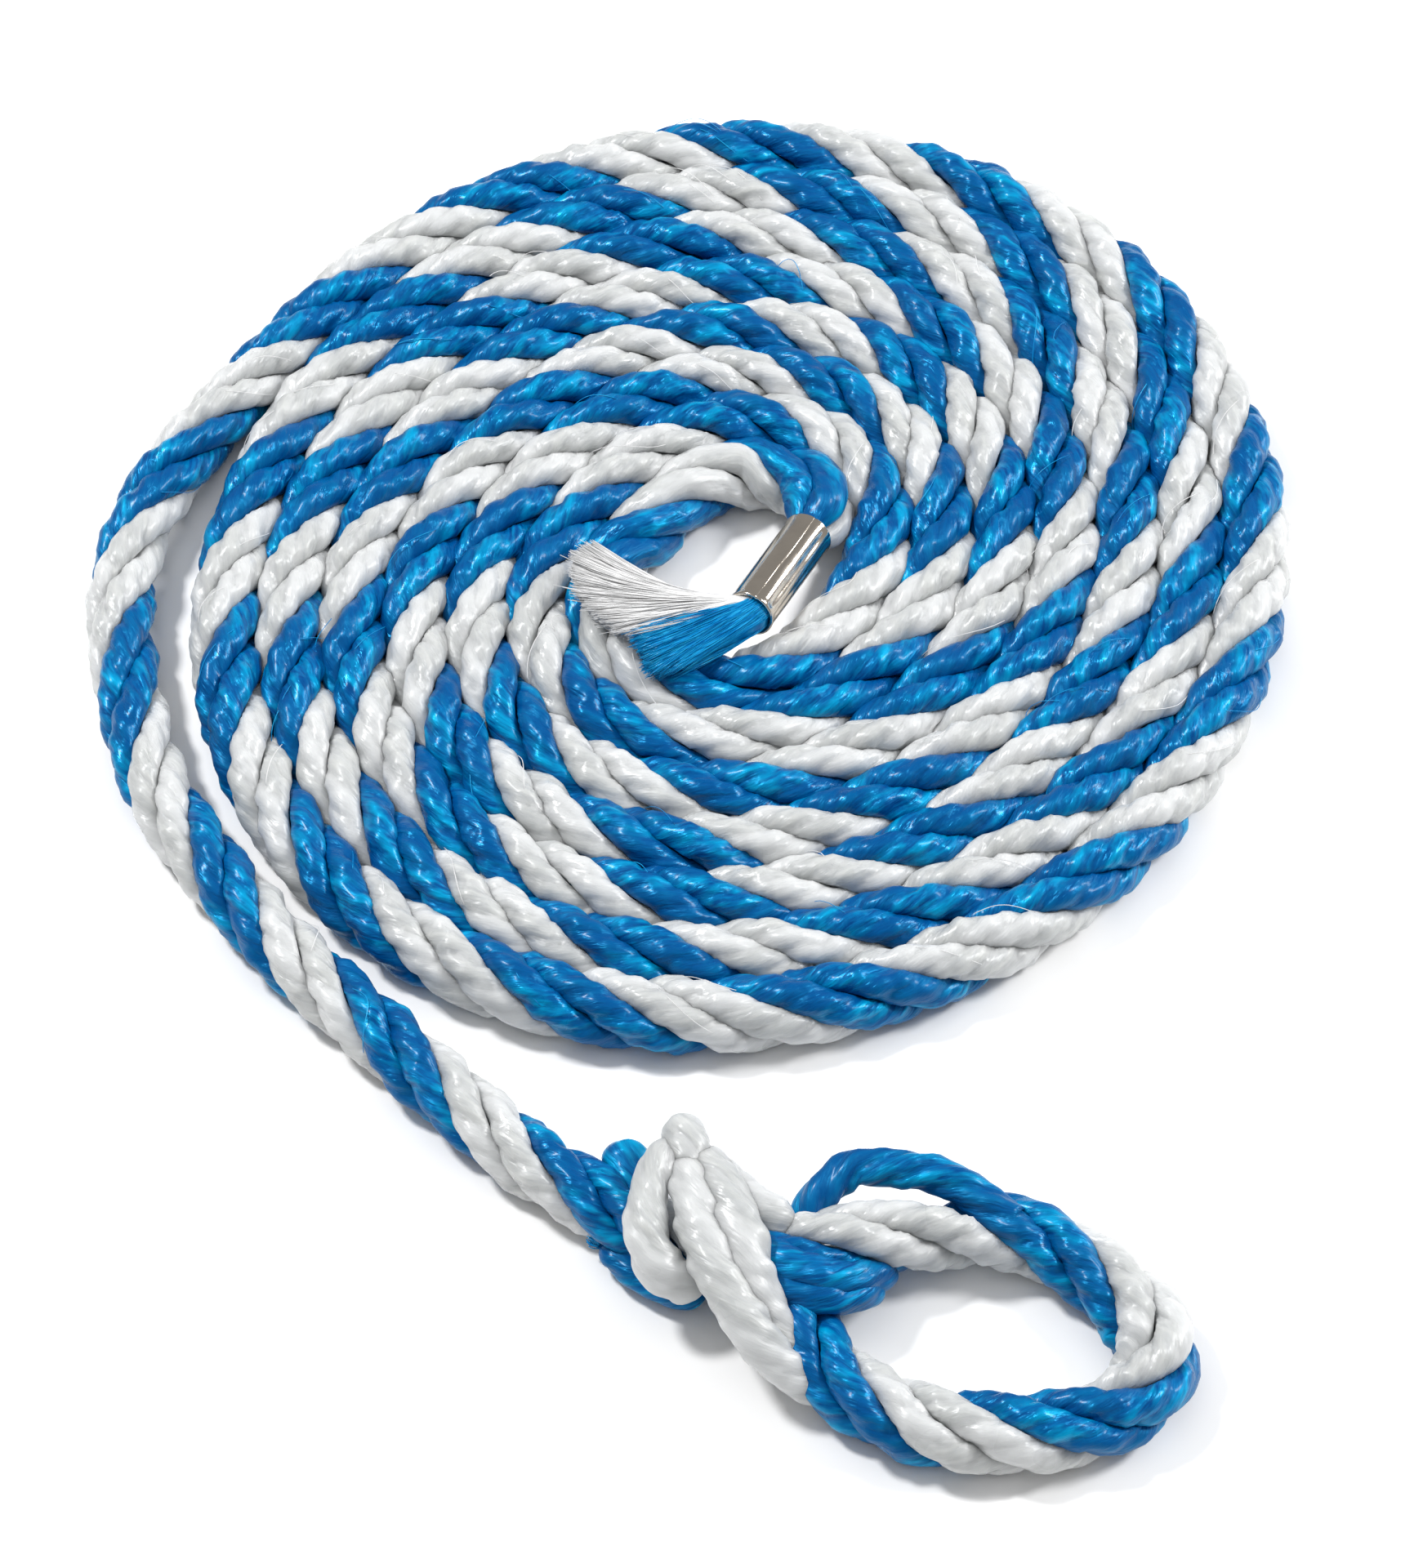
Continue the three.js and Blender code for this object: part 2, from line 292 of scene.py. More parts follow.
BLUE_WRAP_ROUTES = [
    [
        (0.0014, -0.1112, 0.0078, 0.70),
        (0.0042, -0.1128, 0.0088, 0.78),
        (0.0072, -0.1150, 0.0098, 0.84),
        (0.0102, -0.1168, 0.0101, 0.84),
        (0.0134, -0.1178, 0.0098, 0.82),
        (0.0166, -0.1176, 0.0090, 0.80),
        (0.0196, -0.1160, 0.0070, 0.72),
        (0.0222, -0.1138, 0.0042, 0.60),
    ],
    [
        (0.0024, -0.1128, 0.0072, 0.70),
        (0.0050, -0.1150, 0.0080, 0.78),
        (0.0078, -0.1178, 0.0087, 0.82),
        (0.0110, -0.1196, 0.0088, 0.82),
        (0.0142, -0.1200, 0.0084, 0.80),
        (0.0174, -0.1190, 0.0076, 0.75),
        (0.0202, -0.1162, 0.0046, 0.60),
    ],
]
BLUE_CUT_ROUTE = [
    (-0.0147, -0.1080, 0.0028, 0.62),
    (-0.0129, -0.1107, 0.0026, 0.72),
    (-0.0102, -0.1132, 0.0025, 0.75),
    (-0.0064, -0.1153, 0.0025, 0.75),
    (-0.0018, -0.1166, 0.0026, 0.75),
]
BLUE_NUB_ROUTE = [
    (-0.0121, -0.0952, 0.0048, 1.02),
    (-0.0120, -0.0973, 0.0052, 1.10),
    (-0.0118, -0.1002, 0.0050, 1.08),
    (-0.0112, -0.1038, 0.0044, 1.00),
    (-0.0102, -0.1077, 0.0034, 0.90),
]

# The loose fibres beyond the ferrule: the line on which each tuft was cut, the part of the mouth's
# width that it comes out of, and how its fibres turn at the mouth and bow on the way.
WHITE_TUFT = {
    "cut_line": [
        (-0.0172, -0.0012, 0.0112),
        (-0.0200, -0.0036, 0.0112),
        (-0.0192, -0.0098, 0.0110),
        (-0.0162, -0.0146, 0.0110),
        (-0.0118, -0.0172, 0.0110),
    ],
    "fibres": 1500,
    "mouth_side": (-0.78, 0.20),
    "turn": (-0.0024, 0.0006, 0.0),
    "bow": (0.002, -0.0055, 0.0),
}
BLUE_TUFT = {
    "cut_line": [
        (-0.0118, -0.0176, 0.0112),
        (-0.0101, -0.0209, 0.0110),
        (-0.0090, -0.0230, 0.0106),
        (-0.0048, -0.0224, 0.0103),
    ],
    "fibres": 1000,
    "mouth_side": (-0.15, 0.95),
    "turn": (0.0, 0.0, 0.0),
    "bow": (0.0, 0.0, 0.0),
}

# ------------------------------------------------------------------ curves and noise


def unit(rows):
    return rows / np.linalg.norm(rows, axis=-1, keepdims=True)


def smooth(rows, step):
    """A centripetal Catmull-Rom curve through the rows, in even steps along x, y, z."""
    rows = np.array(rows, float)
    rows = np.vstack([2 * rows[0] - rows[1], rows, 2 * rows[-1] - rows[-2]])
    pieces = []
    for i in range(1, len(rows) - 2):
        p = rows[i - 1:i + 3]
        knots = [0.0]
        for a, b in zip(p[:-1], p[1:]):
            knots.append(knots[-1] + np.linalg.norm(b[:3] - a[:3]) ** 0.5)
        t0, t1, t2, t3 = knots
        count = max(4, int(np.linalg.norm(p[2][:3] - p[1][:3]) / step * 2))
        t = np.linspace(t1, t2, count, endpoint=False)[:, None]
        a1 = (t1 - t) / (t1 - t0) * p[0] + (t - t0) / (t1 - t0) * p[1]
        a2 = (t2 - t) / (t2 - t1) * p[1] + (t - t1) / (t2 - t1) * p[2]
        a3 = (t3 - t) / (t3 - t2) * p[2] + (t - t2) / (t3 - t2) * p[3]
        b1 = (t2 - t) / (t2 - t0) * a1 + (t - t0) / (t2 - t0) * a2
        b2 = (t3 - t) / (t3 - t1) * a2 + (t - t1) / (t3 - t1) * a3
        pieces.append((t2 - t) / (t2 - t1) * b1 + (t - t1) / (t2 - t1) * b2)
    dense = np.vstack(pieces + [rows[-2:-1]])
    along = distance(dense)
    even = np.linspace(0, along[-1], int(round(along[-1] / step)) + 1)
    return np.stack([np.interp(even, along, column) for column in dense.T], 1)


def distance(points):
    steps = np.linalg.norm(np.diff(points[:, :3], axis=0), axis=1)
    return np.concatenate([[0], np.cumsum(steps)])


def waver(along, wander, seed):
    """A smooth wander along a length, the same on each run."""
    size, wavelength = wander
    stretches = (0.61, 0.83, 1.0, 1.37, 1.9)
    rng = np.random.default_rng(seed)
    total = np.zeros_like(along)
    for stretch in stretches:
        total += np.sin(2 * np.pi * along / (wavelength * stretch) + rng.uniform(0, 2 * np.pi))
    return size * (total / (len(stretches) / 2))


def ease(x):
    x = np.clip(x, 0, 1)
    return x * x * (3 - 2 * x)


def carried_frame(points, start):
    """An axis square to the curve at each point, carried along it without twist."""
    tangent = unit(np.gradient(points, axis=0))
    axis = np.array(start, float)
    axes = []
    for t in tangent:
        axis = axis - t * np.dot(axis, t)
        axis = axis / np.linalg.norm(axis)
        axes.append(axis)
    return tangent, np.array(axes)


# ------------------------------------------------------------------ meshes


def in_scene(name, data):
    """A new object in the scene, made of a mesh, a light or a camera."""
    thing = bpy.data.objects.new(name, data)
    bpy.context.scene.collection.objects.link(thing)
    return thing


def smooth_faces(mesh):
    mesh.polygons.foreach_set("use_smooth", np.ones(len(mesh.polygons), bool))


def label_points(mesh, labels):
    """Stores vectors on the mesh's points, which the materials read."""
    for label, values in labels.items():
        layer = mesh.attributes.new(label, "FLOAT_VECTOR", "POINT")
        layer.data.foreach_set("vector", values.reshape(-1, 3).astype(np.float32).ravel())


def closed_sweep(name, rings, labels):
    """One closed mesh through rings of points, with its two ends capped."""
    count, around = rings.shape[:2]
    points = np.vstack([rings.reshape(-1, 3), rings[0].mean(0)[None], rings[-1].mean(0)[None]])
    i = np.arange(count - 1)[:, None] * around
    j = np.arange(around)[None, :]
    k = (j + 1) % around
    quads = np.stack([i + j, i + k, i + around + k, i + around + j], -1).reshape(-1, 4)
    j, k = j[0], k[0]
    last = (count - 1) * around
    first_cap = np.stack([np.full(around, count * around), k, j], -1)
    last_cap = np.stack([np.full(around, count * around + 1), last + j, last + k], -1)
    mesh = bpy.data.meshes.new(name)
    mesh.vertices.add(len(points))
    mesh.vertices.foreach_set("co", points.astype(np.float32).ravel())
    loops = np.concatenate([quads.ravel(), first_cap.ravel(), last_cap.ravel()])
    sizes = np.concatenate([np.full(len(quads), 4), np.full(2 * around, 3)])
    mesh.loops.add(len(loops))
    mesh.loops.foreach_set("vertex_index", loops.astype(np.int32))
    mesh.polygons.add(len(sizes))
    starts = np.concatenate([[0], np.cumsum(sizes)[:-1]])
    mesh.polygons.foreach_set("loop_start", starts.astype(np.int32))
    mesh.update(calc_edges=True)
    smooth_faces(mesh)
    label_points(mesh, {
        label: np.vstack([values.reshape(-1, 3), values[0].mean(0), values[-1].mean(0)])
        for label, values in labels.items()
    })
    mesh.validate()
    return in_scene(name, mesh)


def grid_piece(name, grid):
    """A closed mesh from a grid of points that joins on to itself both ways."""
    rows, columns = grid.shape[:2]
    i, j = np.meshgrid(np.arange(rows), np.arange(columns), indexing="ij")
    down, right = (i + 1) % rows, (j + 1) % columns
    quads = np.stack([
        i * columns + j, down * columns + j, down * columns + right, i * columns + right,
    ], -1).reshape(-1, 4)
    mesh = bpy.data.meshes.new(name)
    mesh.from_pydata(grid.reshape(-1, 3).tolist(), [], quads.tolist())
    smooth_faces(mesh)
    return in_scene(name, mesh)


def fibre_bundle(name, lines, half, spot):
    """Many thin, rather flat, four-sided fibres as one mesh, each closed at both ends. half is
    half a fibre's width, and spot its place in the materials' textures."""
    tangent = unit(np.gradient(lines, axis=1))
    flat = unit(np.cross(tangent, UP))
    upright = np.cross(flat, tangent)
    sides, flatness = 4, 0.6
    ring = 2 * np.pi * np.arange(sides) / sides
    points = (
        lines[:, :, None]
        + (half * np.cos(ring))[..., None] * flat[:, :, None]
        + (flatness * half * np.sin(ring))[..., None] * upright[:, :, None]
    )
    count, steps = lines.shape[:2]
    index = np.arange(count * steps * sides).reshape(count, steps, sides)
    near, far = index[:, :-1], index[:, 1:]
    quads = np.stack(
        [near, np.roll(near, -1, 2), np.roll(far, -1, 2), far], -1,
    ).reshape(-1, 4)
    caps = np.vstack([index[:, 0, ::-1], index[:, -1]])
    mesh = bpy.data.meshes.new(name)
    mesh.from_pydata(points.reshape(-1, 3).tolist(), [], quads.tolist() + caps.tolist())
    smooth_faces(mesh)

    shape = points.shape[:3]
    along = np.array([distance(line) for line in lines])
    lengthways = np.broadcast_to(MM * along[:, :, None], shape)
    spot = np.broadcast_to(spot[:, None, None], shape)
    label_points(mesh, {
        "yarn": uncreased(lengthways),
        "fibre": np.stack([spot, 0.3 * spot, lengthways], -1),
        "weft": np.broadcast_to(flat[:, :, None], (*shape, 3)),
    })
    return in_scene(name, mesh)


def uncreased(lengthways):
    """The yarn label of loose fibres, which puts them midway between two creases."""
    midway = np.full(lengthways.shape, math.sqrt(0.5))
    return np.stack([midway, midway, lengthways], -1)


def round_bulge(angle, out, girth):
    """Distance from a strand's centre to the surface of one of its yarns, towards each angle."""
    sideways = out * np.sin(angle)
    reach = out * np.cos(angle) + np.sqrt(np.maximum(girth ** 2 - sideways ** 2, 0))
    return np.where(np.cos(angle) > 0, reach, 0)


def strand_piece(name, centre, across, side, tall, wide, reach, spin, spread, seed, press=None):
    """A strand of soft yarns. across and side are the section's axes at each point, tall and wide
    its half sizes along them, reach how far it may go toward its neighbours, spin the yarns' angle,
    and spread how far apart the yarns lie: 1 when they are laid tight."""
    along = distance(centre)
    tall, wide, reach, spread = (row[:, None] for row in (tall, wide, reach, spread))
    ring = 2 * np.pi * np.arange(RING_POINTS) / RING_POINTS
    angle = ring[None, :] - spin[:, None]
    ellipse = 1 / np.sqrt((np.cos(angle) / tall) ** 2 + (np.sin(angle) / wide) ** 2)
    bulge = np.zeros_like(angle)
    for yarn in range(YARNS):
        place = 2 * np.pi * (yarn + 0.5) / YARNS + waver(along, YARN_WANDER, seed + 10 + yarn)
        girth = YARN_R * (1 + waver(along, YARN_SWELL, seed + 20 + yarn))
        bulge = np.maximum(bulge, round_bulge(
            ring[None, :] - place[:, None], YARN_OUT * spread,
            girth[:, None] + YARN_OUT * (1 - spread),
        ))
    lean = np.abs(np.sin(angle)) - np.cos(angle)    # toward a neighbouring strand
    slight, unlimited = 0.05, 1.0
    limit = np.where(lean > slight, reach / np.maximum(lean, slight), unlimited)
    radius = np.minimum(ellipse * bulge, limit)
    x = radius * np.cos(angle)
    y = radius * np.sin(angle)
    rings = centre[:, None] + across[:, None] * x[..., None] + side[:, None] * y[..., None]
    if press is not None:
        rings = press(rings)
    length = np.repeat(along[:, None] * MM, RING_POINTS, 1)
    around = np.broadcast_to(ring, length.shape)
    size = STRAND_TALL * MM
    return closed_sweep(name, rings, {
        "yarn": np.stack([np.cos(around), np.sin(around), length], -1),
        "fibre": np.stack([size * np.cos(around), size * np.sin(around), length], -1),
        "weft": unit(np.roll(rings, -1, 1) - np.roll(rings, 1, 1)),
    })


# ------------------------------------------------------------------ the rope


def spiral_radius(degrees):
    turns = (degrees - 90) / 360
    oval = OVAL[0] * math.cos(math.radians(2 * (degrees - OVAL[1])))
    shift = SHIFT[0] * math.cos(math.radians(degrees - SHIFT[1]))
    return INNER_TURN_R + TURN_PITCH * turns + oval + shift


def spiral_lay(degrees):
    """Turns of the strands about the rope, counted along the spiral."""
    turns = (degrees - 90) / 360
    even = sum(rate * turns ** power for power, rate in enumerate(LAY_POWERS))
    uneven = sum(size * math.cos(math.radians(waves * (degrees - crest)))
                 for size, waves, crest in LAY_SWAYS)
    size, place, width = LAY_SLACK
    return even + uneven + size * math.exp(-((degrees - place) / width) ** 2)


def spiral_room(degrees):
    """How far a turn may reach from its centre line toward the turn beside it."""
    slope = spiral_radius(degrees + 1) - spiral_radius(degrees - 1)
    tilt = math.atan2(slope, spiral_radius(degrees) * math.radians(2))
    return TURN_PITCH * math.cos(tilt) / 2 * TURN_ROOM


def rope_rows():
    """x, y, z, lay, girth, and the room on the two sides of the line, along the whole rope."""
    free = ROPE_D
    rows = [(*row, free, free) for row in BEND_ROUTE]
    for degrees in np.arange(SPIRAL_FROM, SPIRAL_TO + 1, SPIRAL_STEP):
        angle = math.radians(degrees)
        r = spiral_radius(degrees)
        room = spiral_room(degrees)
        rows.append((
            r * math.cos(angle), r * math.sin(angle), ROPE_R, spiral_lay(degrees), COIL_GIRTH,
            room if degrees > SPIRAL_FROM + 360 else free,
            room if degrees < SPIRAL_TO - 360 else free,
        ))
    rows += [(*row, free, free) for row in LEAD_ROUTE + EYE_ROUTE]
    return rows


rope = smooth(rope_rows(), LENGTH_STEP)
rope_line = rope[:, :3] + ORIGIN
rope_along = distance(rope_line)
rope_lay = 2 * np.pi * rope[:, 3]
rope_girth = rope[:, 4]
rope_room = rope[:, 5:7]
rope_tangent = unit(np.gradient(rope_line, axis=0))
rope_up = unit(np.array(UP) - rope_tangent * rope_tangent[:, 2:3])
rope_side = np.cross(rope_tangent, rope_up)


def pressed(value, room):
    """value, held softly inside the room it has."""
    start = PRESS_START * room
    over = np.maximum(value - start, 0)
    give = room - start
    return np.where(value > start, start + give * (1 - np.exp(-over / give)), value)


def press_turns(rings):
    """Flattens the rope where its turns lean on each other and where it lies on the ground."""
    kept = len(rings)
    line, side, room = rope_line[:kept], rope_side[:kept], rope_room[:kept]
    offset = rings - line[:, None]
    outward = np.einsum("ijk,ik->ij", offset, side)
    held = np.where(outward > 0, pressed(outward, room[:, 1:2]),
                    -pressed(-outward, room[:, 0:1]))
    rings = rings + side[:, None] * (held - outward)[..., None]
    height = line[:, None, 2]
    drop = np.maximum(height - rings[..., 2], 0)
    rings[..., 2] += drop - pressed(drop, height)
    return rings


def rope_strand(name, quarter, seed, sprung=False):
    """One of the four strands; quarter is its place round the rope, in quarter turns."""
    angle = rope_lay + quarter * np.pi / 2 + waver(rope_along, STRAND_WANDER, seed)
    swell = 1 + waver(rope_along, STRAND_SWELL, seed + 1)
    cos, sin = np.cos(angle)[:, None], np.sin(angle)[:, None]
    across = cos * rope_up + sin * rope_side
    side = -sin * rope_up + cos * rope_side
    out = STRAND_OUT * rope_girth
    centre = rope_line + across * out[:, None]
    opened = ease((OPENED_LENGTH - rope_along) / (OPENED_LENGTH / 2))
    yarn_lay = YARN_LAY + (FREE_YARN_LAY - YARN_LAY) * opened
    spin = seed + np.cumsum(2 * np.pi * LENGTH_STEP / yarn_lay)
    spread = 1 - (1 - OPENED_SPREAD) * opened
    tall, wide = STRAND_TALL * rope_girth * swell, STRAND_WIDE * rope_girth * swell
    reach = out - STRAND_GAP
    if not sprung:
        return strand_piece(name, centre, across, side, tall, wide, reach, spin, spread, seed,
                            press_turns)

    eye = rope_along > rope_along[-1] - SPRUNG_WITHIN
    kept = np.nonzero(eye & (rope_line[:, 0] > ORIGIN[0] + SPRUNG_LEAVES_X))[0][-1] + 1
    back, every = SPRUNG_LEAD_IN
    lead_in = centre[kept - back:kept:every]
    line = smooth(np.vstack([lead_in, np.array(SPRUNG_ROUTE) + ORIGIN]), LENGTH_STEP)
    line = line[np.argmin(np.linalg.norm(line - centre[kept - 1], axis=1)) + 1:]
    tangent, free_across = carried_frame(line, across[kept - 1])
    along = distance(line)
    loose = ease(along / SPRUNG_EASE)
    free_tall = tall[kept] * (1 - loose) + SPRUNG_R * loose
    free_wide = wide[kept] * (1 - loose) + SPRUNG_R * loose
    return strand_piece(
        name,
        np.vstack([centre[:kept], line]),
        np.vstack([across[:kept], free_across]),
        np.vstack([side[:kept], np.cross(tangent, free_across)]),
        np.concatenate([tall[:kept], free_tall]),
        np.concatenate([wide[:kept], free_wide]),
        np.concatenate([reach[:kept], np.full(len(line), ROPE_D)]),
        np.concatenate([spin[:kept], spin[kept] + 2 * np.pi * along / FREE_YARN_LAY]),
        np.concatenate([spread[:kept], np.ones(len(line))]),
        seed,
        lambda rings: np.vstack([press_turns(rings[:kept]), rings[kept:]]),
    )


def free_strand(name, route, flat, seed):
    """A strand lying by itself, unlaid from the rope. flat is its height as part of its width."""
    rows = smooth(route, FREE_STEP)
    line = rows[:, :3] + ORIGIN
    tangent, across = carried_frame(line, UP)
    side = np.cross(tangent, across)
    along = distance(line)
    half = FREE_STRAND_R * rows[:, 3] * (1 + waver(along, FREE_SWELL, seed))
    ends = np.minimum(along, along[-1] - along) / FREE_END
    blunt = 0.02
    rounded = np.sqrt(np.clip(1 - (1 - np.clip(ends, 0, 1)) ** 2, blunt, 1))
    spin = 2 * np.pi * along / FREE_YARN_LAY + seed
    no_neighbour = np.full(len(line), 1.0)
    return strand_piece(
        name, line, across, side, half * flat * rounded, half * rounded,
        no_neighbour, spin, np.full(len(line), FREE_SPREAD), seed,
    )


# ------------------------------------------------------------------ ferrule and loose fibres


def ferrule_frame():
    """The ferrule's upper mouth, its length, its axis, and the two directions square to it."""
    start, end = np.array(FERRULE_FROM) + ORIGIN, np.array(FERRULE_TO) + ORIGIN
    axis = unit(end - start)
    top = unit(np.array(UP) - axis * axis[2])
    return start, np.linalg.norm(end - start), axis, top, np.cross(top, axis)


def ferrule_profile(length):
    """Places along the ferrule and depths from its outer face, once round its wall."""
    corner = FERRULE_WALL / 2
    turn = np.linspace(0, np.pi, MOUTH_STEPS)
    body = np.linspace(corner, length - corner, FERRULE_STEPS)[1:-1]
    mouth = [(corner - corner * math.sin(a), corner - corner * math.cos(a) - FERRULE_WALL)
             for a in turn]
    outside = [(s, 0.0) for s in body]
    far_mouth = [(length - s, depth) for s, depth in reversed(mouth)]
    inside = [(s, -FERRULE_WALL) for s in reversed(body[::BORE_EVERY])]
    return mouth + outside + far_mouth + inside


def ferrule_piece():
    """A tube pressed on to the rope: rolled mouths, a seam, and two long dents from the press."""
    start, length, axis, top, right = ferrule_frame()
    around = np.linspace(-np.pi, np.pi, FERRULE_SIDES, endpoint=False)

    def hollow(place, width, depth):
        return depth * np.exp(-((np.degrees(around) - place) / width) ** 2)

    lip, lip_length = FERRULE_LIP
    oval, oval_place = FERRULE_OVAL
    seam_place, seam_width, seam_depth = FERRULE_SEAM
    seam_sway, seam_length = SEAM_WANDER
    dent_sway, dent_length = DENT_WANDER
    rings = []
    for s, depth in ferrule_profile(length):
        middle = math.sin(math.pi * min(max(s / length, 0), 1)) ** 0.5
        mouth = math.exp(-(min(s, length - s) / lip_length) ** 2)
        radius = FERRULE_R * (1 + oval * np.cos(2 * (around - math.radians(oval_place))))
        radius = radius + depth + lip * mouth
        wave = (1 - dent_sway) + dent_sway * math.sin(s / dent_length)
        for place, width, size in FERRULE_DENTS:
            radius = radius - middle * wave * hollow(place, width, size)
        sway = seam_sway * math.sin(s / seam_length)
        radius = radius - hollow(seam_place + sway, seam_width, seam_depth)
        rings.append(
            start + axis * s
            + radius[:, None] * (np.cos(around)[:, None] * top + np.sin(around)[:, None] * right)
        )
    return grid_piece("ferrule_tube", np.array(rings))


def tuft_lines(tuft, place, layer, jitter):
    """Lines from the ferrule's lower mouth to the cut line: place is along it, layer is -1 to 1."""
    start, length, axis, top, right = ferrule_frame()
    cut = smooth(tuft["cut_line"], LENGTH_STEP / 2) + ORIGIN
    ends = cut[np.round(place * (len(cut) - 1)).astype(int)] + jitter
    ends[:, 2] += TUFT_HALF * layer
    low, high = tuft["mouth_side"]
    inside = FERRULE_R - FERRULE_WALL
    sideways = inside * (low + (high - low) * place)
    upward = TUFT_FILL * layer * np.sqrt(np.maximum(inside ** 2 - sideways ** 2, 0))
    roots = start + axis * length + sideways[:, None] * right + upward[:, None] * top
    heading = unit(ends - roots)
    p0 = (roots - axis * TUFT_INSIDE)[:, None]
    p1 = (roots + axis * TUFT_LEAVES + np.array(tuft["turn"]))[:, None]
    bow = np.array(tuft["bow"]) * (1 - place)[:, None] ** 2
    p2 = (ends - heading * TUFT_ARRIVES + bow)[:, None]
    p3 = ends[:, None]
    t = np.linspace(0, 1, TUFT_STEPS)[None, :, None]
    return (1 - t) ** 3 * p0 + 3 * (1 - t) ** 2 * t * p1 + 3 * (1 - t) * t ** 2 * p2 + t ** 3 * p3


def tuft_body(name, tuft, seed):
    """The packed fibres inside a tuft, as one soft sheet."""
    rng = np.random.default_rng(seed)
    across = TUFT_BODY_POINTS
    place = np.linspace(0.02, 0.98, across)
    ragged = np.cumsum(rng.normal(0, TUFT_RAGGED, (across, 3)) * (1, 1, 0), 0) / 2
    upper = tuft_lines(tuft, place, np.full(across, TUFT_BODY_LAYER), ragged)
    lower = tuft_lines(tuft, place, np.full(across, -TUFT_BODY_LAYER), ragged)
    rings = np.vstack([upper, lower[::-1]]).transpose(1, 0, 2)[::-1]
    shape = rings.shape[:2]
    lengthways = np.broadcast_to(MM * distance(rings[:, across // 2])[:, None], shape)
    sideways = TUFT_BODY_WIDE * np.concatenate([place, place[::-1]])
    spot = np.broadcast_to(sideways, shape)
    return closed_sweep(name, rings, {
        "yarn": uncreased(lengthways),
        "fibre": np.stack([spot, 0 * spot, lengthways], -1),
        "weft": np.broadcast_to((0.0, 1.0, 0.0), (*shape, 3)),
    })


def fibre_tuft(name, tuft, seed):
    """Loose fibres that leave the ferrule's lower mouth and fan out to the tuft's cut line."""
    rng = np.random.default_rng(seed)
    count = tuft["fibres"]
    clump = rng.integers(0, CLUMPS, count)
    place = np.clip((clump + 0.5 + rng.normal(0, CLUMP_WIDTH, count)) / CLUMPS, 0, 1)
    layer = rng.uniform(*FIBRE_LAYERS, count)
    layer = layer * np.where(rng.uniform(0, 1, count) < FIBRES_ABOVE, 1, -1)
    jitter = rng.normal(0, CLUMP_RAGGED, (CLUMPS, 3))[clump]
    jitter = (jitter + rng.normal(0, FIBRE_RAGGED, (count, 3))) * FLATTISH
    loose = rng.uniform(0, 1, count) < LOOSE_PART
    astray = rng.normal(0, LOOSE_REACH, (loose.sum(), 3)) * FLATTISH
    jitter[loose] += astray + (0, 0, LOOSE_RISE)
    lines = tuft_lines(tuft, place, layer, jitter)

    t = np.linspace(0, 1, TUFT_STEPS)[None, :, None]
    phase = rng.uniform(0, 2 * np.pi, (CLUMPS, 1, 2))[clump] + rng.normal(0, 0.5, (count, 1, 2))
    curl = np.sin(6 * t + phase) * t * FIBRE_CURL
    lines = lines + curl[..., :1] * np.array([0, 1, 0]) + curl[..., 1:] * np.array(UP)
    half = FIBRE_R * rng.uniform(*FIBRE_GIRTHS, (count, 1, 1)) * (1 - 0.5 * t ** 6)
    return fibre_bundle(name, lines, half, 10 * rng.uniform(-1, 1, count))


def cut_fibres(name, route, count, seed):
    """The short fibres that stand out of the cut end where a free strand's route begins."""
    rng = np.random.default_rng(seed)
    end, inner = np.array(route[0][:3]) + ORIGIN, np.array(route[1][:3]) + ORIGIN
    heading = unit(end - inner)
    side = unit(np.cross(heading, UP))
    top = np.cross(side, heading)
    reach = FREE_STRAND_R * route[0][3] * np.sqrt(rng.uniform(0, 1, (count, 1)))
    around = rng.uniform(0, 2 * np.pi, (count, 1))
    spoke = reach * (np.cos(around) * side + CUT_END_FLAT * np.sin(around) * top)
    at_root, at_tip = CUT_FIBRE_SPLAY
    roots = end - CUT_FIBRE_INSIDE * heading + at_root * spoke
    tips = end + rng.uniform(*CUT_FIBRE_LENGTH, (count, 1)) * heading + at_tip * spoke
    tips = tips + rng.normal(0, CUT_FIBRE_RAGGED, (count, 3)) * (1, 1, 0.5)
    t = np.linspace(0, 1, CUT_FIBRE_STEPS)[None, :, None]
    bend = rng.normal(0, CUT_FIBRE_BEND, (count, 1, 3)) * (1, 1, 0.5)
    lines = roots[:, None] * (1 - t) + tips[:, None] * t + bend * np.sin(np.pi * t)
    return fibre_bundle(name, lines, FIBRE_R, rng.uniform(-10, 10, count))


